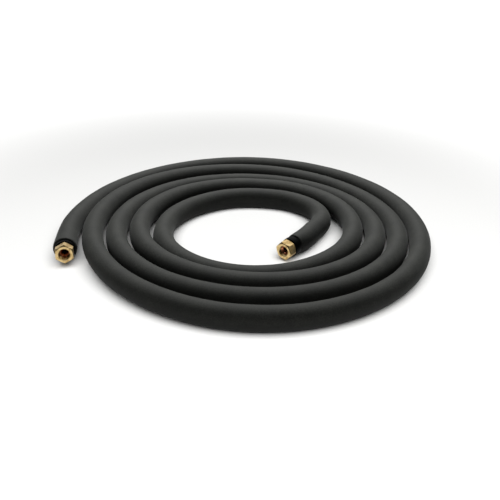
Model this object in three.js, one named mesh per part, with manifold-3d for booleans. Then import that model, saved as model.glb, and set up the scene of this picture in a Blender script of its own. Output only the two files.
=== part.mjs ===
// Insulated line for a mini split air conditioner, laid in a flat coil: one soft copper pipe in a black
// foam sleeve, with a brass flare nut and a black rubber ring on each end.
// Millimetres, +Z up. The origin lies on the floor under the middle of the coil's outline.

import * as THREE from "three";
import { mergeVertices } from "three/addons/utils/BufferGeometryUtils.js";
import Module from "manifold-3d";

const wasm = await Module();
wasm.setup();

// Clearance between pieces that touch, slide or turn on each other.
const GAP = 0.3;

// Copper pipe.
const PIPE_OUTSIDE = 6.35;
const PIPE_WALL = 0.8;
const FLARE_OUTSIDE = 9.1;
const FLARE_ANGLE = THREE.MathUtils.degToRad(45);

// Foam sleeve. Bending the line presses the foam a little narrower than it is tall.
const FOAM_WALL = 8;
const FOAM_PRESS = 0.05;

// Rubber rings between the foam's ends and the nuts. More of the inner one shows.
const RING_OUTSIDE = 20;
const INNER_RING_LENGTH = 8.5;
const OUTER_RING_LENGTH = 4.5;
const RING_EDGE = 0.6;

// Flare nuts.
const NUT_ACROSS_FLATS = 17;
const NUT_LENGTH = 10;
const NUT_BACK_FACE = 15;
const NUT_FRONT_FACE = 15.8;
const NUT_CHAMFER_ANGLE = THREE.MathUtils.degToRad(30);
const THREAD_INSIDE = 10.2;
const THREAD_MOUTH = 11.4;
// How far behind the front face the seat's cone starts from the pipe's bore.
const SEAT_DEPTH = 7;
// How far the flare's lip lies behind the front face, with each nut slid back a little on the pipe.
const INNER_LIP_DEPTH = 2.5;
const OUTER_LIP_DEPTH = 5;
// How far each nut has been turned on the pipe, from having a corner on top.
const INNER_NUT_TURN = THREE.MathUtils.degToRad(20);
const OUTER_NUT_TURN = THREE.MathUtils.degToRad(-2);

// The coil, from its inner turn outwards and anticlockwise seen from above. Each turn is given at eight
// places, 45 degrees apart, from the back (+Y) round by the left, the front and the right.
const PLACES_PER_TURN = 8;
const FIRST_PLACE = Math.PI / 2;
// The distance from the coil's centre to the middle of the line in the first turn.
const FIRST_TURN = [86, 87, 94, 100.5, 104, 104.5, 107, 110];
// The slack left between each later turn's foam and the turn inside it.
const SLACK = [
  [3.5, 6, 3.5, 1, 1, 2, 2.5, 1],
  [2.5, 4, 3.5, 1, 1, 1.5, 2, 1.5],
  [5.5, 6, 3, 1.7, 1.6, 2.2, 1.5, 5.5],
  [5, 1, 4.5],
];
// How far the foam is off the floor at each quarter turn, from the back of the first turn.
const LIFTS = [0, 0, 0, 4.5, 3, 5.5, 5.5, 2, 0, 2, 3.5, 1.5, 3, 5, 0, 2, 4, 0.5];
const PLACES_PER_LIFT = 2;

// The inner end, chosen by hand: where the foam stops, which way it points, and the points of the bend
// that leads from there to the back of the first turn. Distances are from the coil's centre.
const INNER_END = new THREE.Vector3(43.1, -35.6, 0);
const INNER_HEADING = THREE.MathUtils.degToRad(231);
const INNER_RISE = 0;
const BEND = [
  [62.2, -7.4],
  [76.6, 25.2],
  [69.5, 53.8],
  [41.7, 78.4],
];
// The outer end, which rises a little towards its tip.
const OUTER_END = new THREE.Vector3(-185.3, -59.9, 1.7);
const OUTER_HEADING = THREE.MathUtils.degToRad(283);
const OUTER_RISE = THREE.MathUtils.degToRad(6);
// The line is straight for this far inside each end of the foam.
const STRAIGHT = 15;

// How far a cutting shape runs past the piece it cuts.
const OVERRUN = 1;
// Corners nearer to each other than this are one corner.
const WELD = 1e-4;

// Facets.
const DEGREES_PER_STATION = 20;
const STEPS_PER_STATION = 2;
const FOAM_SIDES = 12;
const BORE_SIDES = 8;
const PIPE_INSIDE_SIDES = 6;
const ROUND_SIDES = 24;

// Sizes that follow from those above.
const pipeRadius = PIPE_OUTSIDE / 2;
const boreRadius = pipeRadius + GAP;
const foamOutside = PIPE_OUTSIDE + 2 * FOAM_WALL;
const foamWidth = foamOutside * (1 - FOAM_PRESS);
const foamHeight = foamOutside * (1 + FOAM_PRESS);
const flareLength = (FLARE_OUTSIDE - PIPE_OUTSIDE) / 2 / Math.tan(FLARE_ANGLE);
const flareTail = PIPE_OUTSIDE;
const nutCorner = NUT_ACROSS_FLATS / 2 / Math.cos(Math.PI / 6);

// A solid and its plain geometry, either way.
function solidFrom(geometry) {
  const bare = geometry.clone();
  bare.deleteAttribute("normal");
  bare.deleteAttribute("uv");
  const merged = mergeVertices(bare, WELD);
  return new wasm.Manifold(
    new wasm.Mesh({
      numProp: 3,
      vertProperties: merged.attributes.position.array,
      triVerts: new Uint32Array(merged.index.array),
    }),
  );
}

function geometryFrom(solid) {
  const mesh = solid.getMesh();
  const geometry = new THREE.BufferGeometry();
  geometry.setAttribute("position", new THREE.BufferAttribute(mesh.vertProperties, 3));
  geometry.setIndex(new THREE.BufferAttribute(mesh.triVerts, 1));
  return geometry;
}

// The direction an end points in, from its heading in plan and its rise.
function direction(heading, rise) {
  const level = Math.cos(rise);
  return new THREE.Vector3(Math.cos(heading) * level, Math.sin(heading) * level, Math.sin(rise));
}

// One end of the line: where its foam stops, its direction, the length of its ring, and how far out
// along it the nut, the flare's lip and the end of the plain pipe lie.
function lineEnd(foot, heading, rise, ringLength, lipDepth) {
  const at = foot.clone();
  at.z += foamHeight / 2;
  const along = direction(heading, rise);
  const nutBack = GAP + ringLength + GAP;
  const lip = nutBack + NUT_LENGTH - lipDepth;
  const pipeEnd = lip - flareLength - flareTail / 2;
  return { at, along, ringLength, nutBack, lip, pipeEnd, heading, rise };
}

const innerEnd = lineEnd(INNER_END, INNER_HEADING, INNER_RISE, INNER_RING_LENGTH, INNER_LIP_DEPTH);
const outerEnd = lineEnd(OUTER_END, OUTER_HEADING, OUTER_RISE, OUTER_RING_LENGTH, OUTER_LIP_DEPTH);

// A point on the axis of an end, some way out from the foam.
function outFrom(end, distance) {
  return end.at.clone().addScaledVector(end.along, distance);
}

// The turns as a curve of angle, radius and height, read at the places.
function turnsCurve() {
  const radii = [...FIRST_TURN];
  for (const slacks of SLACK)
    for (const slack of slacks) radii.push(radii.at(-PLACES_PER_TURN) + foamWidth + slack);
  const lifts = new THREE.CatmullRomCurve3(
    LIFTS.map((lift, i) => new THREE.Vector3(i * PLACES_PER_LIFT, lift, 0)),
    false,
    "catmullrom",
  );
  const lastPlace = PLACES_PER_LIFT * (LIFTS.length - 1);
  const knots = radii.slice(0, lastPlace + 1).map((radius, i) => {
    const angle = FIRST_PLACE + (i * 2 * Math.PI) / PLACES_PER_TURN;
    const lift = Math.max(0, lifts.getPoint(i / lastPlace).y);
    return new THREE.Vector3(angle, radius, foamHeight / 2 + lift);
  });
  return new THREE.CatmullRomCurve3(knots, false, "catmullrom");
}

// The stations of the whole line: the inner end, the bend, the turns and the outer end.
function stationsOfLine() {
  const turns = turnsCurve();
  const first = turns.points[0].x;
  const swept = turns.points.at(-1).x - first;
  const count = Math.round(THREE.MathUtils.radToDeg(swept) / DEGREES_PER_STATION);
  const stations = [outFrom(innerEnd, innerEnd.pipeEnd), innerEnd.at, outFrom(innerEnd, -STRAIGHT)];
  for (const [x, y] of BEND) stations.push(new THREE.Vector3(x, y, innerEnd.at.z));
  for (let i = 0; i <= count; i++) {
    const { x: angle, y: radius, z: height } = turns.getPoint(i / count);
    stations.push(new THREE.Vector3(radius * Math.cos(angle), radius * Math.sin(angle), height));
  }
  stations.push(outFrom(outerEnd, -STRAIGHT), outerEnd.at, outFrom(outerEnd, outerEnd.pipeEnd));
  return stations;
}

const stations = stationsOfLine();
const wholeLine = new THREE.CatmullRomCurve3(stations);

// The line from one station to another, divided evenly between stations so that the facets of
// neighbouring turns lie side by side.
function stretch(from, to) {
  const last = stations.length - 1;
  const part = new THREE.Curve();
  part.getPoint = (t) => wholeLine.getPoint((from + (to - from) * t) / last);
  part.getPointAt = part.getPoint;
  part.getTangentAt = part.getTangent;
  return part;
}

// An ellipse of so many sides, with its height along X, which a sweep on the level turns upright.
function oval(height, width, sides) {
  const points = [];
  for (let i = 0; i < sides; i++) {
    const angle = (2 * Math.PI * (i + 0.5)) / sides;
    points.push(new THREE.Vector2((height / 2) * Math.cos(angle), (width / 2) * Math.sin(angle)));
  }
  return points;
}

// The same with its flats, instead of its corners, on the ellipse.
function ovalAround(height, width, sides) {
  const spread = 1 / Math.cos(Math.PI / sides);
  return oval(height * spread, width * spread, sides);
}

// A hollow section swept along the line.
function hollowSweep(outline, hole, from, to) {
  const section = new THREE.Shape(outline);
  section.holes.push(new THREE.Path(hole));
  return new THREE.ExtrudeGeometry(section, {
    extrudePath: stretch(from, to),
    steps: STEPS_PER_STATION * (to - from),
  });
}

// A closed profile of [distance along the axis, radius] points, turned round Z. Its outer side comes
// first, in the direction of the axis.
function turned(profile) {
  const points = profile.map(([z, r]) => new THREE.Vector2(r, z));
  points.push(points[0].clone());
  return new THREE.LatheGeometry(points, ROUND_SIDES).rotateX(Math.PI / 2);
}

// Places a geometry made along Z on the axis of an end, its zero some way out from the foam.
function onEnd(geometry, end, distance, turn = 0) {
  const level = new THREE.Matrix4().makeRotationY(Math.PI / 2 - end.rise);
  const headed = new THREE.Matrix4().makeRotationZ(end.heading);
  const spun = new THREE.Matrix4().makeRotationZ(turn);
  const place = new THREE.Matrix4().setPosition(outFrom(end, distance));
  return geometry.applyMatrix4(place.multiply(headed).multiply(level).multiply(spun));
}

function sleeveGeometry() {
  return hollowSweep(
    ovalAround(foamHeight, foamWidth, FOAM_SIDES),
    oval(2 * boreRadius, 2 * boreRadius, BORE_SIDES),
    1,
    stations.length - 2,
  );
}

// The flare on a pipe end, with a straight tail that joins the plain pipe. Its lip is at zero.
function flareGeometry() {
  const inside = pipeRadius - PIPE_WALL;
  const coneLength = flareLength + PIPE_WALL * Math.tan(FLARE_ANGLE / 2);
  return turned([
    [-flareLength - flareTail, inside],
    [-flareLength - flareTail, pipeRadius],
    [-flareLength, pipeRadius],
    [0, FLARE_OUTSIDE / 2],
    [0, inside + coneLength * Math.tan(FLARE_ANGLE)],
    [-coneLength, inside],
  ]);
}

function pipeGeometry() {
  const inside = PIPE_OUTSIDE - 2 * PIPE_WALL;
  let pipe = solidFrom(
    hollowSweep(
      oval(PIPE_OUTSIDE, PIPE_OUTSIDE, BORE_SIDES),
      oval(inside, inside, PIPE_INSIDE_SIDES),
      0,
      stations.length - 1,
    ),
  );
  for (const end of [innerEnd, outerEnd]) {
    pipe = pipe.add(solidFrom(onEnd(flareGeometry(), end, end.lip)));
  }
  return geometryFrom(pipe);
}

function ringGeometry(end) {
  const outside = RING_OUTSIDE / 2;
  const ring = turned([
    [0, boreRadius],
    [0, outside - RING_EDGE],
    [RING_EDGE, outside],
    [end.ringLength - RING_EDGE, outside],
    [end.ringLength, outside - RING_EDGE],
    [end.ringLength, boreRadius],
  ]);
  return onEnd(ring, end, GAP);
}

// A flare nut: a hexagon chamfered at both ends, bored for the pipe, with a 45 degree seat for the
// flare and a threaded mouth. Its back face is at zero.
function nutGeometry(end, turn) {
  const hexagon = new THREE.Shape();
  for (let i = 0; i < 6; i++) {
    const angle = (i * Math.PI) / 3;
    const corner = [nutCorner * Math.cos(angle), nutCorner * Math.sin(angle)];
    if (i === 0) hexagon.moveTo(...corner);
    else hexagon.lineTo(...corner);
  }
  hexagon.closePath();
  const bar = new THREE.ExtrudeGeometry(hexagon, { depth: NUT_LENGTH, bevelEnabled: false });

  const past = nutCorner + OVERRUN;
  const backChamfer = (past - NUT_BACK_FACE / 2) * Math.tan(NUT_CHAMFER_ANGLE);
  const frontChamfer = (past - NUT_FRONT_FACE / 2) * Math.tan(NUT_CHAMFER_ANGLE);
  const envelope = turned([
    [0, 0],
    [0, NUT_BACK_FACE / 2],
    [backChamfer, past],
    [NUT_LENGTH - frontChamfer, past],
    [NUT_LENGTH, NUT_FRONT_FACE / 2],
    [NUT_LENGTH, 0],
  ]);

  const seat = NUT_LENGTH - SEAT_DEPTH;
  const thread = THREAD_INSIDE / 2;
  const mouth = THREAD_MOUTH / 2;
  const bore = turned([
    [-OVERRUN, 0],
    [-OVERRUN, boreRadius],
    [seat, boreRadius],
    [seat + (thread - boreRadius) / Math.tan(FLARE_ANGLE), thread],
    [NUT_LENGTH - (mouth - thread), thread],
    [NUT_LENGTH + OVERRUN, mouth + OVERRUN],
    [NUT_LENGTH + OVERRUN, 0],
  ]);
  const nut = solidFrom(bar).intersect(solidFrom(envelope)).subtract(solidFrom(bore));
  return onEnd(geometryFrom(nut), end, end.nutBack, turn);
}

const foam = new THREE.MeshStandardMaterial({ color: 0x303131, roughness: 0.9, metalness: 0 });
const rubber = new THREE.MeshStandardMaterial({ color: 0x0d0d0e, roughness: 0.7, metalness: 0 });
const copper = new THREE.MeshStandardMaterial({ color: 0xb06a4a, roughness: 0.35, metalness: 1 });
const brass = new THREE.MeshStandardMaterial({ color: 0xd3b268, roughness: 0.3, metalness: 1 });

function named(name, geometry, material) {
  const mesh = new THREE.Mesh(geometry, material);
  mesh.name = name;
  return mesh;
}

const line = new THREE.Group();
line.add(
  named("insulation_sleeve", sleeveGeometry(), foam),
  named("copper_pipe", pipeGeometry(), copper),
  named("end_ring_inner", ringGeometry(innerEnd), rubber),
  named("end_ring_outer", ringGeometry(outerEnd), rubber),
  named("flare_nut_inner", nutGeometry(innerEnd, INNER_NUT_TURN), brass),
  named("flare_nut_outer", nutGeometry(outerEnd, OUTER_NUT_TURN), brass),
);

// The line's middle is moved over the origin.
const outline = new THREE.Box3().setFromPoints(stations);
const middle = outline.getCenter(new THREE.Vector3());
line.position.set(-middle.x, -middle.y, 0);

const set = new THREE.Group();
set.add(line);

export default set;
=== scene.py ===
"""Insulated line for a mini split air conditioner, laid in a flat coil on a white studio floor.

One soft copper pipe runs in a foam rubber sleeve. At each end a rubber ring closes the sleeve and a
brass flare nut turns freely behind the pipe's flare. Everything is in metres, +Z up.
"""

import math

import bpy
from bpy.props import FloatProperty, FloatVectorProperty, PointerProperty
from mathutils import Matrix, Vector, noise


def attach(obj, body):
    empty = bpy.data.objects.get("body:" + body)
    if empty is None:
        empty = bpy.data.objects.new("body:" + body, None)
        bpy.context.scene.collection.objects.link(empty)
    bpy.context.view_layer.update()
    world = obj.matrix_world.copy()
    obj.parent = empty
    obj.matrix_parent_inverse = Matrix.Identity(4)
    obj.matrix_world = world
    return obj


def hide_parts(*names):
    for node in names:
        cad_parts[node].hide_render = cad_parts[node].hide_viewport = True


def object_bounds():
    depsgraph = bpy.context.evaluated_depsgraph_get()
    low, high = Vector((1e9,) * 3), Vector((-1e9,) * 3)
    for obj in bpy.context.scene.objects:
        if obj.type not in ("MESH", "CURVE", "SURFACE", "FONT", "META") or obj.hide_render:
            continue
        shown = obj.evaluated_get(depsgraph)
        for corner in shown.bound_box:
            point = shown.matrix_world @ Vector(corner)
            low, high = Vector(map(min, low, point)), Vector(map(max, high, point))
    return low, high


bl_info = {
    "name": "Insulated Line Coil",
    "version": (1, 0, 0),
    "blender": (4, 5, 0),
    "location": "View3D > Sidebar > Line Coil",
    "description": "Dresses a coiled, foam insulated copper line with its rings and flare nuts",
    "category": "Object",
}

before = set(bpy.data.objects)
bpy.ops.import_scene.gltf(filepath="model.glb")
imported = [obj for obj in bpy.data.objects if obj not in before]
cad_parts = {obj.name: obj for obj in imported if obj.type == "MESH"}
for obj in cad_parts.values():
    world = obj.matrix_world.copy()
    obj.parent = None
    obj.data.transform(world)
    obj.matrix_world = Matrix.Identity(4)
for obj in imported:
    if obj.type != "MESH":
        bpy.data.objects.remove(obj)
CAD_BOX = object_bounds()

MM = 0.001

# The coil, anticlockwise from above and from the inside out. Each turn is given at eight places, 45
# degrees apart, from the back round by the left, the front and the right.
PLACES = 8
FIRST_PLACE = math.pi / 2
# The distance in millimetres from the coil's centre to the middle of the line in the first turn.
FIRST_TURN = (86, 87, 94, 100.5, 104, 104.5, 107, 110)
# The slack in millimetres between each later turn's foam and the turn inside it.
SLACK = (
    (3.5, 6, 3.5, 1, 1, 2, 2.5, 1),
    (2.5, 4, 3.5, 1, 1, 1.5, 2, 1.5),
    (5.5, 6, 3, 1.7, 1.6, 2.2, 1.5, 5.5),
    (5, 1, 4.5),
)
# How far the foam is off the floor, in millimetres, at each quarter turn from the back of the first.
LIFTS = (0, 0, 0, 4.5, 3, 5.5, 5.5, 2, 0, 2, 3.5, 1.5, 3, 5, 0, 2, 4, 0.5)
PLACES_PER_LIFT = 2
# The inner end of the foam, its heading and rise, and the bend that leads to the first turn.
INNER_END = Vector((43.1, -35.6, 0)) * MM
INNER_HEADING = math.radians(231)
INNER_RISE = 0
BEND = ((62.2, -7.4), (76.6, 25.2), (69.5, 53.8), (41.7, 78.4))
# The outer end of the foam, its heading and rise.
OUTER_END = Vector((-185.3, -59.9, 1.7)) * MM
OUTER_HEADING = math.radians(283)
OUTER_RISE = math.radians(6)
# The line is straight for this far inside each end of the foam.
STRAIGHT = 15 * MM
DEGREES_PER_STATION = 20
# Points read between two stations before a course is divided evenly.
FINE_STEPS = 24
# Facets round the foam and the pipe, round the rings, and in the rounded edge of the cut foam.
LINE_SIDES = 40
RING_SIDES = 96
EDGE_STEPS = 5
# Clearance between pieces that slide or turn on each other.
GAP = 0.3 * MM


def linear(code):
    """The linear colour of an sRGB hex value such as #a1b2c3."""
    parts = [int(code[i : i + 2], 16) / 255 for i in (1, 3, 5)]
    return tuple(p / 12.92 if p <= 0.04045 else ((p + 0.055) / 1.055) ** 2.4 for p in parts)


def colour_property(name, description, code):
    """A colour setting whose default is an sRGB hex value."""
    return FloatVectorProperty(
        name=name,
        description=description,
        default=linear(code),
        size=3,
        min=0.0,
        max=1.0,
        subtype="COLOR",
    )


class LineSizes(bpy.types.PropertyGroup):
    """Sizes of the line, its rings and its nuts."""

    pipe_outside: FloatProperty(
        name="Pipe diameter",
        description="Outside diameter of the copper pipe",
        default=6.35 * MM,
        unit="LENGTH",
        precision=5,
    )
    pipe_wall: FloatProperty(
        name="Pipe wall",
        description="Wall thickness of the copper pipe",
        default=0.8 * MM,
        unit="LENGTH",
        precision=5,
    )
    flare_outside: FloatProperty(
        name="Flare diameter",
        description="Diameter of the pipe's flared lip",
        default=9.1 * MM,
        unit="LENGTH",
        precision=5,
    )
    foam_wall: FloatProperty(
        name="Foam wall",
        description="Wall thickness of the foam sleeve",
        default=8 * MM,
        unit="LENGTH",
        precision=5,
    )
    foam_press: FloatProperty(
        name="Foam press",
        description="How much narrower than round the bent foam is, as a share of its diameter",
        default=0.05,
        subtype="FACTOR",
    )
    foam_ripple: FloatProperty(
        name="Foam ripple",
        description="How far the foam's surface wanders from an even tube",
        default=0.16 * MM,
        unit="LENGTH",
        precision=5,
    )
    foam_edge: FloatProperty(
        name="Foam edge",
        description="Radius of the rounded edge of the cut foam",
        default=1.3 * MM,
        unit="LENGTH",
        precision=5,
    )
    ring_outside: FloatProperty(
        name="Ring diameter",
        description="Outside diameter of the rubber rings",
        default=20 * MM,
        unit="LENGTH",
        precision=5,
    )
    inner_ring_length: FloatProperty(
        name="Inner ring length",
        description="How much of the rubber ring shows at the inner end",
        default=8.5 * MM,
        unit="LENGTH",
        precision=5,
    )
    outer_ring_length: FloatProperty(
        name="Outer ring length",
        description="How much of the rubber ring shows at the outer end",
        default=4.5 * MM,
        unit="LENGTH",
        precision=5,
    )
    nut_flats: FloatProperty(
        name="Nut across flats",
        description="Distance between opposite flats of the flare nuts",
        default=17 * MM,
        unit="LENGTH",
        precision=5,
    )
    nut_length: FloatProperty(
        name="Nut length",
        description="Length of the flare nuts",
        default=10 * MM,
        unit="LENGTH",
        precision=5,
    )
    inner_lip_depth: FloatProperty(
        name="Inner lip depth",
        description="How far the pipe's lip lies behind the inner nut's front face",
        default=2.5 * MM,
        unit="LENGTH",
        precision=5,
    )
    outer_lip_depth: FloatProperty(
        name="Outer lip depth",
        description="How far the pipe's lip lies behind the outer nut's front face",
        default=5 * MM,
        unit="LENGTH",
        precision=5,
    )
    seat_depth: FloatProperty(
        name="Seat depth",
        description="How far the cone of the nut's seat starts behind its front face",
        default=7 * MM,
        unit="LENGTH",
        precision=5,
    )
    thread_inside: FloatProperty(
        name="Thread inside diameter",
        description="Diameter over the crests of the nut's internal thread",
        default=10.2 * MM,
        unit="LENGTH",
        precision=5,
    )
    thread_pitch: FloatProperty(
        name="Thread pitch",
        description="Distance from one thread to the next",
        default=1.27 * MM,
        unit="LENGTH",
        precision=5,
    )


class LineColours(bpy.types.PropertyGroup):
    """Colours of the line's materials."""

    foam: colour_property("Foam", "The foam sleeve's skin", "#232422")
    foam_bloom: colour_property("Foam bloom", "The foam's paler, dusty patches", "#292a27")
    ring: colour_property("Rubber ring", "The rubber rings", "#070707")
    brass: colour_property("Brass", "The nuts' turned brass", "#d6bb86")
    brass_tarnish: colour_property("Brass tarnish", "The nuts' duller, older patches", "#a98a55")
    copper: colour_property("Copper", "The pipe's drawn copper", "#c98462")
    copper_tarnish: colour_property("Copper tarnish", "The pipe's darker, oxidised patches", "#7c4432")
    floor: colour_property("Floor", "The studio's floor", "#c8c8c7")


class StudioSettings(bpy.types.PropertyGroup):
    """The studio's light and camera."""

    key_power: FloatProperty(
        name="Back light",
        description="Power of the large soft light behind and above the coil, kept off the floor",
        default=60.0,
        unit="POWER",
    )
    fill_power: FloatProperty(
        name="Floor light",
        description="Power of the large soft light above the floor, kept off the black foam",
        default=66.0,
        unit="POWER",
    )
    metal_power: FloatProperty(
        name="Metal light",
        description="Power of the wide, dim panel that the metal and the rubber rings mirror",
        default=46.0,
        unit="POWER",
    )
    side_power: FloatProperty(
        name="Side light",
        description="Power of the low panel on the right that the nuts' right flats mirror",
        default=14.0,
        unit="POWER",
    )
    front_power: FloatProperty(
        name="Front light",
        description="Power of the wide, weak panel over the camera that fills the foam's shadows",
        default=6.0,
        unit="POWER",
    )
    surround: FloatProperty(
        name="Surround",
        description="Brightness of the white room",
        default=0.03,
        min=0.0,
    )
    focal_length: FloatProperty(
        name="Focal length",
        description="Focal length of the camera's lens on a 36 mm frame",
        default=43.45,
        unit="CAMERA",
    )


# The line's route


def catmull_rom(points, at, even=False):
    """A point of the smooth curve through the points. at is 0 at the first one and counts up by one."""
    last = len(points) - 1
    i = min(int(at), last - 1)
    w = at - i
    p1, p2 = points[i], points[i + 1]
    p0 = points[i - 1] if i > 0 else p1 * 2 - p2
    p3 = points[i + 2] if i + 2 <= last else p2 * 2 - p1
    if even:
        m1, m2 = (p2 - p0) / 2, (p3 - p1) / 2
    else:
        d0, d1, d2 = ((b - a).length ** 0.5 for a, b in ((p0, p1), (p1, p2), (p2, p3)))
        m1 = ((p1 - p0) / d0 - (p2 - p0) / (d0 + d1) + (p2 - p1) / d1) * d1
        m2 = ((p2 - p1) / d1 - (p3 - p1) / (d1 + d2) + (p3 - p2) / d2) * d1
    rise = p2 - p1
    return p1 + m1 * w + (rise * 3 - m1 * 2 - m2) * w**2 + (m1 + m2 - rise * 2) * w**3


class LineEnd:
    """One end of the line: where its foam stops, its direction, and what follows along its axis."""

    def __init__(self, sizes, foot, heading, rise, ring_length, lip_depth):
        level = math.cos(rise)
        foam_height = (sizes.pipe_outside + 2 * sizes.foam_wall) * (1 + sizes.foam_press)
        self.at = foot + Vector((0, 0, foam_height / 2))
        self.along = Vector((math.cos(heading) * level, math.sin(heading) * level, math.sin(rise)))
        self.nut_back = 2 * GAP + ring_length
        self.lip = self.nut_back + sizes.nut_length - lip_depth
        flare = (sizes.flare_outside - sizes.pipe_outside) / 2
        self.pipe_end = self.lip - flare - sizes.pipe_outside / 2
        self.ring_length = ring_length

    def out(self, distance):
        """The point on the end's axis this far out from the foam."""
        return self.at + self.along * distance

    def place(self, distance, turn=0.0):
        """The matrix that stands a piece made along +Z on the end's axis, +X up, turned about it."""
        side, up = across(self.along)
        spun = Matrix.Rotation(turn, 4, "Z")
        axes = Matrix((up, -side, self.along)).transposed().to_4x4()
        return Matrix.Translation(self.out(distance)) @ axes @ spun


def across(along):
    """The level direction to the side of a course, and the upward one square to both."""
    side = Vector((0, 0, 1)).cross(along).normalized()
    return side, along.cross(side).normalized()


class Route:
    """The middle of the whole line as a smooth curve, and its two ends."""

    def __init__(self, sizes):
        self.inner = LineEnd(
            sizes,
            INNER_END,
            INNER_HEADING,
            INNER_RISE,
            sizes.inner_ring_length,
            sizes.inner_lip_depth,
        )
        self.outer = LineEnd(
            sizes,
            OUTER_END,
            OUTER_HEADING,
            OUTER_RISE,
            sizes.outer_ring_length,
            sizes.outer_lip_depth,
        )
        foam = sizes.pipe_outside + 2 * sizes.foam_wall
        width, height = foam * (1 - sizes.foam_press), foam * (1 + sizes.foam_press)
        radii = [r * MM for r in FIRST_TURN]
        for slacks in SLACK:
            for slack in slacks:
                radii.append(radii[-PLACES] + width + slack * MM)
        lifts = [Vector((i, lift * MM, 0)) for i, lift in enumerate(LIFTS)]
        last = PLACES_PER_LIFT * (len(LIFTS) - 1)
        knots = []
        for i in range(last + 1):
            lift = max(0.0, catmull_rom(lifts, i / PLACES_PER_LIFT, even=True).y)
            angle = FIRST_PLACE + i * 2 * math.pi / PLACES
            knots.append(Vector((angle, radii[i], height / 2 + lift)))
        count = int(last * 360 / PLACES / DEGREES_PER_STATION + 0.5)
        stations = [self.inner.out(self.inner.pipe_end), self.inner.at, self.inner.out(-STRAIGHT)]
        stations += [Vector((x * MM, y * MM, self.inner.at.z)) for x, y in BEND]
        for i in range(count + 1):
            angle, radius, z = catmull_rom(knots, i / count * last, even=True)
            stations.append(Vector((radius * math.cos(angle), radius * math.sin(angle), z)))
        stations += [self.outer.out(-STRAIGHT), self.outer.at, self.outer.out(self.outer.pipe_end)]
        # The line's middle is moved over the origin.
        xs, ys = [s.x for s in stations], [s.y for s in stations]
        shift = Vector((-(min(xs) + max(xs)) / 2, -(min(ys) + max(ys)) / 2, 0))
        self.stations = [s + shift for s in stations]
        for end in (self.inner, self.outer):
            end.at += shift

    def course(self, first, last, step):
        """Points from one station to another, each about a step from the next, with their directions."""
        fine = []
        for i in range(int((last - first) * FINE_STEPS) + 1):
            fine.append(catmull_rom(self.stations, first + i / FINE_STEPS))
        travelled = [0.0]
        for a, b in zip(fine, fine[1:]):
            travelled.append(travelled[-1] + (b - a).length)
        count = max(2, round(travelled[-1] / step))
        points, j = [], 0
        for k in range(count + 1):
            goal = travelled[-1] * k / count
            while j < len(fine) - 2 and travelled[j + 1] < goal:
                j += 1
            share = (goal - travelled[j]) / (travelled[j + 1] - travelled[j])
            points.append(fine[j].lerp(fine[j + 1], min(1.0, max(0.0, share))))
        made = []
        for k, point in enumerate(points):
            before, after = points[max(0, k - 1)], points[min(count, k + 1)]
            made.append((point, (after - before).normalized(), travelled[-1] * k / count))
        return made


# Making meshes


def closed_skin(name, rings):
    """A closed body whose skin runs from ring to ring and back to the first. All rings are alike."""
    sides = len(rings[0])
    faces = []
    for i in range(len(rings)):
        a, b = i * sides, (i + 1) % len(rings) * sides
        for k in range(sides):
            n = (k + 1) % sides
            faces.append((a + k, a + n, b + n, b + k))
    mesh = bpy.data.meshes.new(name)
    mesh.from_pydata([v for ring in rings for v in ring], [], faces)
    mesh.validate()
    mesh.shade_smooth()
    made = bpy.data.objects.new(name, mesh)
    bpy.context.scene.collection.objects.link(made)
    return made


def facing_out(piece):
    """Turns all the faces round if the closed body is inside out."""
    volume = 0.0
    mesh = piece.data
    for face in mesh.polygons:
        corners = [mesh.vertices[i].co for i in face.vertices]
        for a, b in zip(corners[1:], corners[2:]):
            volume += corners[0].dot(a.cross(b))
    if volume < 0:
        mesh.flip_normals()
    return piece


def circle(radius, angles):
    """Points round Z at these angles, at a radius that is a number or a function of the angle."""
    at = radius if callable(radius) else lambda angle: radius
    return [(at(a) * math.cos(a), at(a) * math.sin(a)) for a in angles]


def even_angles(sides):
    """So many angles spread evenly over a whole turn."""
    return [2 * math.pi * k / sides for k in range(sides)]


def rounded_corner(before, corner, after, radius, steps=5):
    """The points of a rounding between two legs of a profile."""
    b, c, a = Vector(before), Vector(corner), Vector(after)
    start = c + (b - c).normalized() * radius
    end = c + (a - c).normalized() * radius
    points = []
    for k in range(steps + 1):
        t = k / steps
        points.append(tuple(start * (1 - t) ** 2 + c * (2 * t * (1 - t)) + end * t**2))
    return points


# Materials


def add_node(tree, kind, inputs=None, **settings):
    """Adds a node with its settings. Each input is a value, or another node's output to link from."""
    made = tree.nodes.new(kind)
    for name, value in settings.items():
        setattr(made, name, value)
    for name, value in (inputs or {}).items():
        if isinstance(value, bpy.types.NodeSocket):
            tree.links.new(value, made.inputs[name])
        else:
            made.inputs[name].default_value = value
    return made


def opaque(colour):
    """A colour with its alpha."""
    return (*colour, 1.0)


def new_material(name, **shader):
    """A material and its shader, with values set straight on the shader's sockets."""
    made = bpy.data.materials.new(name)
    made.use_nodes = True
    surface = made.node_tree.nodes["Principled BSDF"]
    for socket, value in shader.items():
        surface.inputs[socket.replace("_", " ")].default_value = value
    return made, made.node_tree, surface


def per_metre(millimetres):
    """A noise texture's scale for marks of this size."""
    return 1 / (millimetres * MM)


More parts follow.
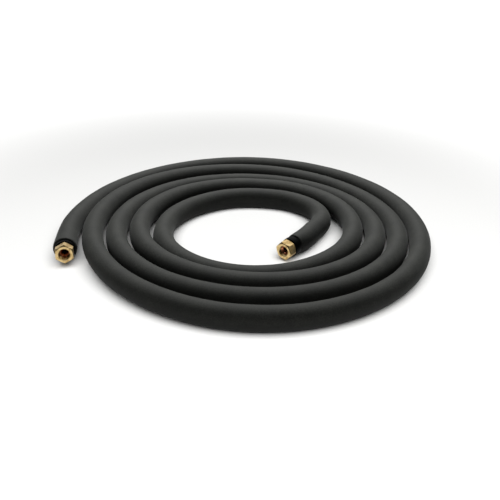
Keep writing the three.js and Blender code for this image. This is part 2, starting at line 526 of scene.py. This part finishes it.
def closed_cell_foam_rubber(colours):
    """Nitrile foam rubber, extruded and cured with a closed skin.

    The eye sees a soft, even charcoal with almost no shine, a fine dusty grain, wide faint cloudy
    patches where the skin is a little paler, an underside darkened with painted shade, and tiny pores
    darkened with painted shade."""
    made, tree, surface = new_material(
        "closed_cell_foam_rubber",
        IOR=1.5,
        Metallic=0.0,
        Specular_IOR_Level=0.15,
        Sheen_Weight=0.06,
        Sheen_Roughness=0.4,
        Sheen_Tint=opaque(linear("#c9ccca")),
    )
    coordinates = add_node(tree, "ShaderNodeTexCoord")
    place = coordinates.outputs["Object"]
    # Cloudy patches about 14 mm across.
    clouds = add_node(
        tree,
        "ShaderNodeTexNoise",
        {"Vector": place, "Scale": per_metre(14), "Detail": 4.0, "Roughness": 0.6},
    )
    # The skin's grain is 0.2 mm, drawn at 1.3 mm so that it shows.
    grain = add_node(
        tree,
        "ShaderNodeTexNoise",
        {"Vector": place, "Scale": per_metre(1.3), "Detail": 3.0, "Roughness": 0.7},
    )
    # Pores 0.3 mm wide, drawn 1.6 mm apart.
    pores = add_node(tree, "ShaderNodeTexVoronoi", {"Vector": place, "Scale": per_metre(1.6)})
    pore_depth = add_node(
        tree,
        "ShaderNodeMapRange",
        {"Value": pores.outputs["Distance"], "From Min": 0.05, "From Max": 0.3},
        interpolation_type="SMOOTHSTEP",
    )
    patches = add_node(
        tree,
        "ShaderNodeMapRange",
        {"Value": clouds.outputs["Fac"], "From Min": 0.35, "From Max": 0.7},
    )
    tone = add_node(
        tree,
        "ShaderNodeMix",
        {0: patches.outputs["Result"], 6: opaque(colours.foam), 7: opaque(colours.foam_bloom)},
        data_type="RGBA",
    )
    speckle = add_node(
        tree,
        "ShaderNodeMapRange",
        {
            "Value": grain.outputs["Fac"],
            "From Min": 0.35,
            "From Max": 0.65,
            "To Min": 0.72,
            "To Max": 1.28,
        },
    )
    # Painted shade: the colour is darker in the pores, down to 0.86 of it.
    painted_pore_shade = add_node(
        tree,
        "ShaderNodeMapRange",
        {"Value": pore_depth.outputs["Result"], "To Min": 0.86, "To Max": 1.0},
    )
    shade = add_node(
        tree,
        "ShaderNodeMath",
        {0: speckle.outputs["Result"], 1: painted_pore_shade.outputs["Result"]},
        operation="MULTIPLY",
    )
    # Painted shade: the colour grows darker the more the skin faces down, to 0.3 of it on the underside.
    facing = add_node(tree, "ShaderNodeSeparateXYZ", {0: coordinates.outputs["Normal"]})
    painted_underside_shade = add_node(
        tree,
        "ShaderNodeMapRange",
        {
            "Value": facing.outputs["Z"],
            "From Min": -0.5,
            "From Max": 0.4,
            "To Min": 0.3,
            "To Max": 1.0,
        },
        interpolation_type="SMOOTHSTEP",
    )
    with_underside_shade = add_node(
        tree,
        "ShaderNodeMath",
        {0: shade.outputs[0], 1: painted_underside_shade.outputs["Result"]},
        operation="MULTIPLY",
    )
    skin = add_node(
        tree,
        "ShaderNodeVectorMath",
        {0: tone.outputs[2], "Scale": with_underside_shade.outputs[0]},
        operation="SCALE",
    )
    tree.links.new(skin.outputs["Vector"], surface.inputs["Base Color"])
    dullness = add_node(
        tree,
        "ShaderNodeMapRange",
        {"Value": grain.outputs["Fac"], "To Min": 0.66, "To Max": 0.9},
    )
    tree.links.new(dullness.outputs["Result"], surface.inputs["Roughness"])
    pitted = add_node(
        tree,
        "ShaderNodeBump",
        {"Height": pore_depth.outputs["Result"], "Strength": 0.25, "Distance": 0.12 * MM},
    )
    grained = add_node(
        tree,
        "ShaderNodeBump",
        {
            "Height": grain.outputs["Fac"],
            "Strength": 0.5,
            "Distance": 0.12 * MM,
            "Normal": pitted.outputs["Normal"],
        },
    )
    tree.links.new(grained.outputs["Normal"], surface.inputs["Normal"])
    return made


def moulded_rubber(colours):
    """Solid rubber, moulded in a polished tool.

    The eye sees a near black ring, smoother than the foam, with a soft wide highlight and a little
    dust."""
    made, tree, surface = new_material(
        "moulded_rubber", IOR=1.52, Metallic=0.0, Specular_IOR_Level=0.06
    )
    place = add_node(tree, "ShaderNodeTexCoord").outputs["Object"]
    # Dust and handling marks about 3 mm across.
    marks = add_node(
        tree,
        "ShaderNodeTexNoise",
        {"Vector": place, "Scale": per_metre(3), "Detail": 4.0, "Roughness": 0.65},
    )
    dusty = add_node(
        tree,
        "ShaderNodeMapRange",
        {"Value": marks.outputs["Fac"], "From Min": 0.45, "From Max": 0.75, "To Max": 0.5},
    )
    tone = add_node(
        tree,
        "ShaderNodeMix",
        {0: dusty.outputs["Result"], 6: opaque(colours.ring), 7: opaque(linear("#0f0f0f"))},
        data_type="RGBA",
    )
    tree.links.new(tone.outputs[2], surface.inputs["Base Color"])
    dullness = add_node(
        tree,
        "ShaderNodeMapRange",
        {"Value": marks.outputs["Fac"], "To Min": 0.4, "To Max": 0.7},
    )
    tree.links.new(dullness.outputs["Result"], surface.inputs["Roughness"])
    # The tool's fine texture is 0.1 mm, drawn at 0.5 mm so that it shows.
    texture = add_node(
        tree, "ShaderNodeTexNoise", {"Vector": place, "Scale": per_metre(0.5), "Detail": 2.0}
    )
    bump = add_node(
        tree,
        "ShaderNodeBump",
        {"Height": texture.outputs["Fac"], "Strength": 0.2, "Distance": 0.05 * MM},
    )
    tree.links.new(bump.outputs["Normal"], surface.inputs["Normal"])
    return made


def round_the_axis(tree, mark):
    """Coordinates in which a pattern runs in rings round a piece's own Z axis, one mark wide."""
    place = add_node(tree, "ShaderNodeTexCoord").outputs["Object"]
    parts = add_node(tree, "ShaderNodeSeparateXYZ", {0: place})
    flat = add_node(tree, "ShaderNodeCombineXYZ", {0: parts.outputs[0], 1: parts.outputs[1]})
    radius = add_node(tree, "ShaderNodeVectorMath", {0: flat.outputs[0]}, operation="LENGTH")
    rings = add_node(
        tree, "ShaderNodeCombineXYZ", {0: radius.outputs["Value"], 1: parts.outputs[2]}
    )
    scaled = add_node(
        tree,
        "ShaderNodeVectorMath",
        {0: rings.outputs[0], "Scale": per_metre(mark)},
        operation="SCALE",
    )
    return place, scaled.outputs["Vector"]


def aged_metal(name, bright, dull, patch, smooth, rough, marks, mark_depth):
    """A bare metal with tool marks in rings round its axis and duller patches of age.

    patch and marks are sizes in millimetres."""
    made, tree, surface = new_material(name, Metallic=1.0)
    place, rings = round_the_axis(tree, marks)
    age = add_node(
        tree,
        "ShaderNodeTexNoise",
        {"Vector": place, "Scale": per_metre(patch), "Detail": 5.0, "Roughness": 0.62},
    )
    worn = add_node(
        tree,
        "ShaderNodeMapRange",
        {"Value": age.outputs["Fac"], "From Min": 0.42, "From Max": 0.68},
        interpolation_type="SMOOTHSTEP",
    )
    tone = add_node(
        tree,
        "ShaderNodeMix",
        {0: worn.outputs["Result"], 6: opaque(bright), 7: opaque(dull)},
        data_type="RGBA",
    )
    tree.links.new(tone.outputs[2], surface.inputs["Base Color"])
    lines = add_node(
        tree, "ShaderNodeTexNoise", {"Vector": rings, "Scale": 1.0, "Detail": 2.0, "Roughness": 0.5}
    )
    line_shine = add_node(
        tree,
        "ShaderNodeMapRange",
        {"Value": lines.outputs["Fac"], "To Min": -0.06, "To Max": 0.06},
    )
    dullness = add_node(
        tree,
        "ShaderNodeMapRange",
        {"Value": worn.outputs["Result"], "To Min": smooth, "To Max": rough},
    )
    shine = add_node(
        tree,
        "ShaderNodeMath",
        {0: dullness.outputs["Result"], 1: line_shine.outputs["Result"]},
        operation="ADD",
    )
    tree.links.new(shine.outputs[0], surface.inputs["Roughness"])
    bump = add_node(
        tree,
        "ShaderNodeBump",
        {"Height": lines.outputs["Fac"], "Strength": 0.35, "Distance": mark_depth * MM},
    )
    tree.links.new(bump.outputs["Normal"], surface.inputs["Normal"])
    return made


def turned_brass(colours):
    """Free-cutting brass bar, drawn to a hexagon and turned.

    The eye sees a pale gold with bright edges, fine tool lines round the mouth and chamfers, and
    browner patches where it has been handled. The lines are 0.1 mm apart, drawn at 0.35 mm."""
    return aged_metal(
        "turned_brass", colours.brass, colours.brass_tarnish, 4.5, 0.3, 0.5, 0.35, 0.03
    )


def annealed_copper(colours):
    """Soft copper pipe, drawn, annealed and flared with a cone.

    The eye sees a pinkish brown metal, burnished on the flare and browner in its dark bore. The
    cone's lines are 0.1 mm apart, drawn at 0.3 mm."""
    return aged_metal(
        "annealed_copper", colours.copper, colours.copper_tarnish, 3.0, 0.24, 0.5, 0.3, 0.02
    )


def painted_board(colours):
    """White painted board, rolled with a matt paint.

    The eye sees a clean white with no shine. Away from the coil the board glows with painted light
    that grows with the distance from the centre, so that it stays white right into the distance."""
    made, tree, surface = new_material(
        "painted_board", IOR=1.45, Specular_IOR_Level=0.1, Emission_Color=(1, 1, 1, 1)
    )
    place = add_node(tree, "ShaderNodeTexCoord").outputs["Object"]
    distance = add_node(tree, "ShaderNodeVectorMath", {0: place}, operation="LENGTH")
    # Painted light: the board glows, not at all near the coil and more the further out it is.
    painted_glow = add_node(
        tree,
        "ShaderNodeMapRange",
        {
            "Value": distance.outputs["Value"],
            "From Min": 0.3,
            "From Max": 1.0,
            "To Min": 0.0,
            "To Max": 1.1,
        },
        interpolation_type="SMOOTHSTEP",
    )
    tree.links.new(painted_glow.outputs["Result"], surface.inputs["Emission Strength"])
    # The roller's orange peel is about 2 mm across.
    peel = add_node(
        tree, "ShaderNodeTexNoise", {"Vector": place, "Scale": per_metre(2), "Detail": 2.0}
    )
    tone = add_node(
        tree,
        "ShaderNodeMix",
        {0: peel.outputs["Fac"], 6: opaque(colours.floor), 7: opaque(linear("#cececd"))},
        data_type="RGBA",
    )
    tree.links.new(tone.outputs[2], surface.inputs["Base Color"])
    surface.inputs["Roughness"].default_value = 0.9
    return made


def dress(piece, material):
    """Gives a piece its material."""
    piece.data.materials.append(material)
    return piece


# The pieces


class LINECOIL_OT_camera(bpy.types.Operator):
    """Place the camera as the photograph was taken"""

    bl_idname = "linecoil.camera"
    bl_label = "Camera"

    def execute(self, context):
        data = bpy.data.cameras.new("studio_camera")
        data.sensor_width = 36.0
        data.lens = context.scene.studio_settings.focal_length
        data.clip_start = 0.01
        data.clip_end = 20.0
        camera = bpy.data.objects.new("studio_camera", data)
        context.scene.collection.objects.link(camera)
        # Looking along +Y and 27.7 degrees down, with the head rolled a little.
        place = Vector((0.006, -0.5952, 0.2945))
        down, roll = 0.48407, 0.02471
        right = Vector((1, 0, 0))
        up = Vector((0, math.sin(down), math.cos(down)))
        ahead = Vector((0, math.cos(down), -math.sin(down)))
        rolled_right = right * math.cos(roll) + up * math.sin(roll)
        rolled_up = up * math.cos(roll) - right * math.sin(roll)
        turned = Matrix((rolled_right, rolled_up, -ahead)).transposed().to_4x4()
        camera.matrix_world = Matrix.Translation(place) @ turned
        context.scene.camera = camera
        return {"FINISHED"}


class LINECOIL_OT_insulation_sleeve(bpy.types.Operator):
    """Make the foam sleeve that covers the whole line"""

    bl_idname = "linecoil.insulation_sleeve"
    bl_label = "Insulation Sleeve"

    def execute(self, context):
        sizes = context.scene.line_sizes
        route = Route(sizes)
        foam = sizes.pipe_outside + 2 * sizes.foam_wall
        high, wide = foam * (1 + sizes.foam_press) / 2, foam * (1 - sizes.foam_press) / 2
        bore = sizes.pipe_outside / 2 + GAP
        angles = even_angles(LINE_SIDES)
        course = route.course(1, len(route.stations) - 2, 3.5 * MM)
        length = course[-1][2]
        edge = sizes.foam_edge
        rings = []

        def spread(travelled):
            """How much further out the sides are near the outer end, where no bend presses them."""
            return 1.2 * MM * max(0.0, 1 - (length - travelled) / (45 * MM))

        def taper(travelled):
            """How far the skin is drawn in near the ends, more at the inner one."""
            inner = max(0.0, 1 - travelled / (14 * MM))
            outer = max(0.0, 1 - (length - travelled) / (9 * MM))
            return 0.75 * MM * inner**2 + 0.2 * MM * outer**2

        def ring_at(point, along, travelled, drawn=0.0):
            """One ring of the skin, rippled, and drawn in near the ends and at their rounded edges."""
            side, up = across(along)
            sides_out = wide + spread(travelled)
            inset = taper(travelled) + drawn
            ring = []
            for angle in angles:
                reach_up, reach_side = math.cos(angle), math.sin(angle)
                spot = point + side * (reach_side * wide) + up * (reach_up * high)
                ripple = noise.noise(spot / (28 * MM)) + 0.5 * noise.noise(spot / (9 * MM))
                grown = sizes.foam_ripple * ripple - inset
                ring.append(
                    point
                    + side * (reach_side * (sides_out + grown))
                    + up * (reach_up * (high + grown))
                )
            return ring

        def end_rings(end, travelled, outwards):
            """The rounded edge of the cut foam, from the skin to the cut face."""
            made = []
            for k in range(EDGE_STEPS + 1):
                angle = math.pi / 2 * k / EDGE_STEPS
                back, drawn = edge * (1 - math.sin(angle)), edge * (1 - math.cos(angle))
                made.append(ring_at(end.out(-back), end.along * outwards, travelled, drawn))
            return made

        # The inner end's edge, from its cut face to the skin.
        for ring in reversed(end_rings(route.inner, 0.0, -1)):
            rings.append(ring)
        for point, along, travelled in course:
            if edge < travelled < length - edge:
                rings.append(ring_at(point, along, travelled))
        rings += end_rings(route.outer, length, 1)
        # The bore leads back from the outer end to the inner one.
        for point, along, travelled in reversed(route.course(1, len(route.stations) - 2, 12 * MM)):
            side, up = across(along)
            rings.append(
                [point + side * (math.sin(a) * bore) + up * (math.cos(a) * bore) for a in angles]
            )
        sleeve = facing_out(closed_skin("foam_sleeve", rings))
        dress(sleeve, closed_cell_foam_rubber(context.scene.line_colours))
        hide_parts("insulation_sleeve")
        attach(sleeve, "line")
        return {"FINISHED"}


class LINECOIL_OT_copper_pipe(bpy.types.Operator):
    """Make the flared copper pipe inside the sleeve"""

    bl_idname = "linecoil.copper_pipe"
    bl_label = "Copper Pipe"

    def execute(self, context):
        sizes = context.scene.line_sizes
        route = Route(sizes)
        outside, inside = sizes.pipe_outside / 2, sizes.pipe_outside / 2 - sizes.pipe_wall
        lip = sizes.flare_outside / 2
        cone = lip - outside
        throat = sizes.pipe_wall * math.tan(math.pi / 8)
        inner_lip = inside + cone + throat
        angles = even_angles(LINE_SIDES)

        def ring(point, along, radius):
            side, up = across(along)
            return [
                point + side * (math.sin(a) * radius) + up * (math.cos(a) * radius) for a in angles
            ]

        # Each flare from the plain pipe's outside, round its lip and down its cone into the bore.
        edge = 0.16 * MM
        flare = [
            (-cone - 1.2 * MM, outside),
            (-cone - 0.3 * MM, outside),
            (-cone, outside + 0.05 * MM),
            (-cone + 0.3 * MM, outside + 0.28 * MM),
            (-edge, lip - edge),
            (-0.4 * edge, lip),
            (0, lip - 0.5 * edge),
            (0, inner_lip + 0.6 * edge),
            (-0.5 * edge, inner_lip - 0.2 * edge),
            (-0.3 * (cone + throat), inside + 0.7 * (cone + throat)),
            (-0.7 * (cone + throat), inside + 0.3 * (cone + throat)),
            (-cone - throat, inside + 0.04 * MM),
            (-cone - throat - 0.4 * MM, inside),
        ]
        course = route.course(0, len(route.stations) - 1, 6 * MM)
        rings = []
        inner, outer = route.inner, route.outer
        for distance, radius in reversed(flare[:6]):
            rings.append(ring(inner.out(inner.lip + distance), -inner.along, radius))
        for point, along, _ in course[1:-1]:
            rings.append(ring(point, along, outside))
        for distance, radius in flare:
            rings.append(ring(outer.out(outer.lip + distance), outer.along, radius))
        for point, along, _ in reversed(course[1:-1]):
            rings.append(ring(point, along, inside))
        for distance, radius in reversed(flare[6:]):
            rings.append(ring(inner.out(inner.lip + distance), -inner.along, radius))
        pipe = facing_out(closed_skin("flared_copper_pipe", rings))
        dress(pipe, annealed_copper(context.scene.line_colours))
        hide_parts("copper_pipe")
        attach(pipe, "line")
        return {"FINISHED"}


class LINECOIL_OT_end_rings(bpy.types.Operator):
    """Make the rubber ring at each end of the foam"""

    bl_idname = "linecoil.end_rings"
    bl_label = "End Rings"

    def execute(self, context):
        sizes = context.scene.line_sizes
        route = Route(sizes)
        rubber = moulded_rubber(context.scene.line_colours)
        outside, bore = sizes.ring_outside / 2, sizes.pipe_outside / 2 + GAP
        angles = even_angles(RING_SIDES)
        for name, node, end in (
            ("rubber_ring_inner", "end_ring_inner", route.inner),
            ("rubber_ring_outer", "end_ring_outer", route.outer),
        ):
            long = end.ring_length
            edge = 0.9 * MM
            shoulder = outside - 0.25 * MM
            profile = [(0, bore + 0.4 * MM), (0, bore + 1.5 * MM), (0, outside - 2 * MM)]
            profile += rounded_corner((0, outside - 3 * MM), (0, shoulder), (long, shoulder), edge)
            # A low crown round the middle.
            for k in range(1, 12):
                t = k / 12
                profile.append(
                    (edge + (long - 2 * edge) * t, shoulder + 0.25 * MM * math.sin(math.pi * t))
                )
            profile += rounded_corner((0, shoulder), (long, shoulder), (long, 0), edge)
            profile += [(long, outside - 2 * MM), (long, bore + 1.5 * MM), (long, bore + 0.4 * MM)]
            profile += [(long - 0.4 * MM, bore), (long / 2, bore), (0.4 * MM, bore)]
            rings = [[(x, y, z) for x, y in circle(r, angles)] for z, r in profile]
            ring = facing_out(closed_skin(name, rings))
            ring.matrix_world = end.place(GAP)
            dress(ring, rubber)
            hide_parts(node)
            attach(ring, "line")
        return {"FINISHED"}


class LINECOIL_OT_flare_nuts(bpy.types.Operator):
    """Make the brass flare nut at each end"""

    bl_idname = "linecoil.flare_nuts"
    bl_label = "Flare Nuts"

    def execute(self, context):
        sizes = context.scene.line_sizes
        route = Route(sizes)
        brass = turned_brass(context.scene.line_colours)
        for name, node, body, end, turn in (
            ("brass_nut_inner", "flare_nut_inner", "inner_nut", route.inner, 20),
            ("brass_nut_outer", "flare_nut_outer", "outer_nut", route.outer, -2),
        ):
            nut = facing_out(closed_skin(name, nut_rings(sizes)))
            nut.matrix_world = end.place(end.nut_back, math.radians(turn))
            dress(nut, brass)
            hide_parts(node)
            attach(nut, body)
        return {"FINISHED"}


def nut_rings(sizes):
    """The rings of a flare nut, from its back bore over the outside to the mouth and back down the
    thread and the seat. Its back face is at zero and its mouth points to +Z."""
    long, flat = sizes.nut_length, sizes.nut_flats / 2
    corner = flat / math.cos(math.pi / 6)
    bore = sizes.pipe_outside / 2 + GAP
    crest = sizes.thread_inside / 2
    groove = 0.46 * MM
    back_face, front_face = 7.5 * MM, 7.9 * MM
    chamfer = math.tan(math.pi / 6)
    # The corners get more angles, so that they stay crisp.
    offsets = (0, 0.5, 1, 1.6, 2.4, 3.6, 5.5, 8.5, 12.5, 17, 21.5, 26)
    in_sector = [*offsets, 30, *(60 - o for o in reversed(offsets[1:]))]
    angles = [math.radians(60 * k + o) for k in range(6) for o in in_sector]

    def outside(z):
        """The hexagon's radius by angle at this height, cut back by both chamfer cones."""
        cone = min(back_face + z / chamfer, front_face + (long - z) / chamfer)

        def radius(angle):
            sharp = 90
            total = (flat / cone) ** sharp
            for k in range(6):
                toward = math.cos(angle - math.radians(60 * k + 30))
                if toward > 0:
                    total += toward**sharp
            return flat * total ** (-1 / sharp)

        return radius

    def ring(z, radius):
        return [(x, y, z) for x, y in circle(radius, angles)]

    reach = (corner - min(back_face, front_face)) * chamfer
    rings = [ring(0.25 * MM, bore), ring(0, bore + 0.3 * MM), ring(0, (bore + back_face) / 2)]
    rings.append(ring(0, back_face - 0.25 * MM))
    # The rings lie closer together towards each face, where the chamfer curves most.
    chamfered, steps = reach * 1.15, 14
    for k in range(steps + 1):
        z = chamfered * (k / steps) ** 1.3
        rings.append(ring(z + 0.02 * MM, outside(z)))
    for k in range(1, 6):
        z = chamfered + (long - 2 * chamfered) * k / 6
        rings.append(ring(z, outside(z)))
    for k in range(steps + 1):
        z = long - chamfered * (1 - k / steps) ** 1.3 - 0.02 * MM
        rings.append(ring(z, outside(z)))
    mouth = crest + 0.62 * MM
    rings += [ring(long, front_face - 0.2 * MM), ring(long, (mouth + front_face) / 2)]
    rings += [ring(long, mouth + 0.12 * MM), ring(long - 0.06 * MM, mouth)]
    # The thread: a V groove that winds down from the mouth to the seat.
    seat_top = long - sizes.seat_depth + crest - bore
    top = long - 0.5 * MM
    steps = 44
    for k in range(steps + 1):
        z = top + (seat_top - top) * k / steps
        fade = min(1.0, k / 4, (steps - k) / 5)

        def radius(angle, z=z, fade=fade):
            phase = (z / sizes.thread_pitch - angle / (2 * math.pi)) % 1
            depth = min(1.0, max(0.0, (abs(2 * phase - 1) - 0.12) / 0.76))
            flank = crest + groove * depth * fade
            return max(flank, crest + max(0.0, z - (long - 0.62 * MM)))

        rings.append(ring(z, radius))
    seat_low = seat_top - (crest - bore)
    rings.append(ring((seat_top + seat_low) / 2, (crest + bore) / 2))
    rings += [ring(seat_low, bore), ring(seat_low / 2, bore)]
    return rings


class LINECOIL_OT_line_route(bpy.types.Operator):
    bl_idname = "linecoil.line_route"
    bl_label = "Line Route"

    def execute(self, context):
        sizes = context.scene.line_sizes
        route = Route(sizes)
        path = [p for p, _, _ in route.course(1, len(route.stations) - 2, 8 * MM)]
        return {"FINISHED"}


# Each light falls on these only, as if the rest were behind a flag.
METAL_PIECES = ("flared_copper_pipe", "brass_nut_inner", "brass_nut_outer")
LIT_BY = {
    "back_light": ("foam_sleeve",),
    "floor_light": ("studio_floor",),
    "metal_light": (*METAL_PIECES, "rubber_ring_inner", "rubber_ring_outer"),
    "side_light": METAL_PIECES,
    "front_light": ("foam_sleeve",),
}


class LINECOIL_OT_studio(bpy.types.Operator):
    """Make the white floor and the soft studio light"""

    bl_idname = "linecoil.studio"
    bl_label = "Studio"

    def execute(self, context):
        settings = context.scene.studio_settings
        mesh = bpy.data.meshes.new("studio_floor")
        far, below = 4.0, min(0.0, CAD_BOX[0].z)
        corners = [(-far, -far, below), (far, -far, below), (far, far, below), (-far, far, below)]
        mesh.from_pydata(corners, [], [(0, 1, 2, 3)])
        floor = bpy.data.objects.new("studio_floor", mesh)
        floor.data.materials.append(painted_board(context.scene.line_colours))
        context.scene.collection.objects.link(floor)

        world = bpy.data.worlds.new("white_room")
        world.use_nodes = True
        tree = world.node_tree
        walls = tree.nodes["Background"]
        walls.inputs["Color"].default_value = (1, 1, 1, 1)
        walls.inputs["Strength"].default_value = settings.surround
        # The walls look white, though little of their light falls on the coil.
        seen = add_node(tree, "ShaderNodeBackground", {"Color": (1, 1, 1, 1), "Strength": 1.0})
        straight = add_node(tree, "ShaderNodeLightPath").outputs["Is Camera Ray"]
        mixed = add_node(
            tree, "ShaderNodeMixShader", {0: straight, 1: walls.outputs[0], 2: seen.outputs[0]}
        )
        tree.links.new(mixed.outputs[0], tree.nodes["World Output"].inputs["Surface"])
        context.scene.world = world
        context.scene.view_settings.view_transform = "Standard"

        for name, power, size, spot, aim in (
            ("back_light", settings.key_power, 0.9, (0.0, 0.9, 1.3), (0, 0.02, 0)),
            ("floor_light", settings.fill_power, 2.0, (0.1, -0.6, 1.4), (0, 0.02, 0)),
            ("metal_light", settings.metal_power, 3.5, (-0.3, 0.9, 1.3), (0, 0.02, 0)),
            ("side_light", settings.side_power, 1.6, (1.5, 0.1, 0.8), (0, 0.02, 0)),
            ("front_light", settings.front_power, 1.6, (0.0, -1.2, 1.6), (0, 0.02, 0)),
        ):
            data = bpy.data.lights.new(name, "AREA")
            data.shape = "SQUARE"
            data.size = size
            data.energy = power
            light = bpy.data.objects.new(name, data)
            light.location = spot
            toward = Vector(aim) - Vector(spot)
            light.rotation_mode = "QUATERNION"
            light.rotation_quaternion = toward.to_track_quat("-Z", "Y")
            context.scene.collection.objects.link(light)
            lit = bpy.data.collections.new(name + "_falls_on")
            for piece in LIT_BY[name]:
                lit.objects.link(bpy.data.objects[piece])
            light.light_linking.receiver_collection = lit
        return {"FINISHED"}


class LINECOIL_PT_panel(bpy.types.Panel):
    """The line coil's settings and its pieces in the sidebar"""

    bl_idname = "LINECOIL_PT_panel"
    bl_label = "Line Coil"
    bl_space_type = "VIEW_3D"
    bl_region_type = "UI"
    bl_category = "Line Coil"

    def draw(self, context):
        for group in (
            context.scene.line_sizes,
            context.scene.line_colours,
            context.scene.studio_settings,
        ):
            box = self.layout.box()
            for name in group.__annotations__:
                box.prop(group, name)
        for operator in OPERATORS:
            self.layout.operator(operator.bl_idname)


OPERATORS = (
    LINECOIL_OT_camera,
    LINECOIL_OT_insulation_sleeve,
    LINECOIL_OT_copper_pipe,
    LINECOIL_OT_end_rings,
    LINECOIL_OT_flare_nuts,
    LINECOIL_OT_line_route,
    LINECOIL_OT_studio,
)
CLASSES = (LineSizes, LineColours, StudioSettings, *OPERATORS, LINECOIL_PT_panel)


def register():
    for cls in CLASSES:
        bpy.utils.register_class(cls)
    bpy.types.Scene.line_sizes = PointerProperty(type=LineSizes)
    bpy.types.Scene.line_colours = PointerProperty(type=LineColours)
    bpy.types.Scene.studio_settings = PointerProperty(type=StudioSettings)


def unregister():
    del bpy.types.Scene.studio_settings
    del bpy.types.Scene.line_colours
    del bpy.types.Scene.line_sizes
    for cls in reversed(CLASSES):
        bpy.utils.unregister_class(cls)


def main():
    register()
    bpy.ops.linecoil.camera()
    bpy.ops.linecoil.insulation_sleeve()
    bpy.ops.linecoil.copper_pipe()
    bpy.ops.linecoil.end_rings()
    bpy.ops.linecoil.flare_nuts()
    bpy.ops.linecoil.line_route()
    bpy.ops.linecoil.studio()


if __name__ == "__main__":
    main()
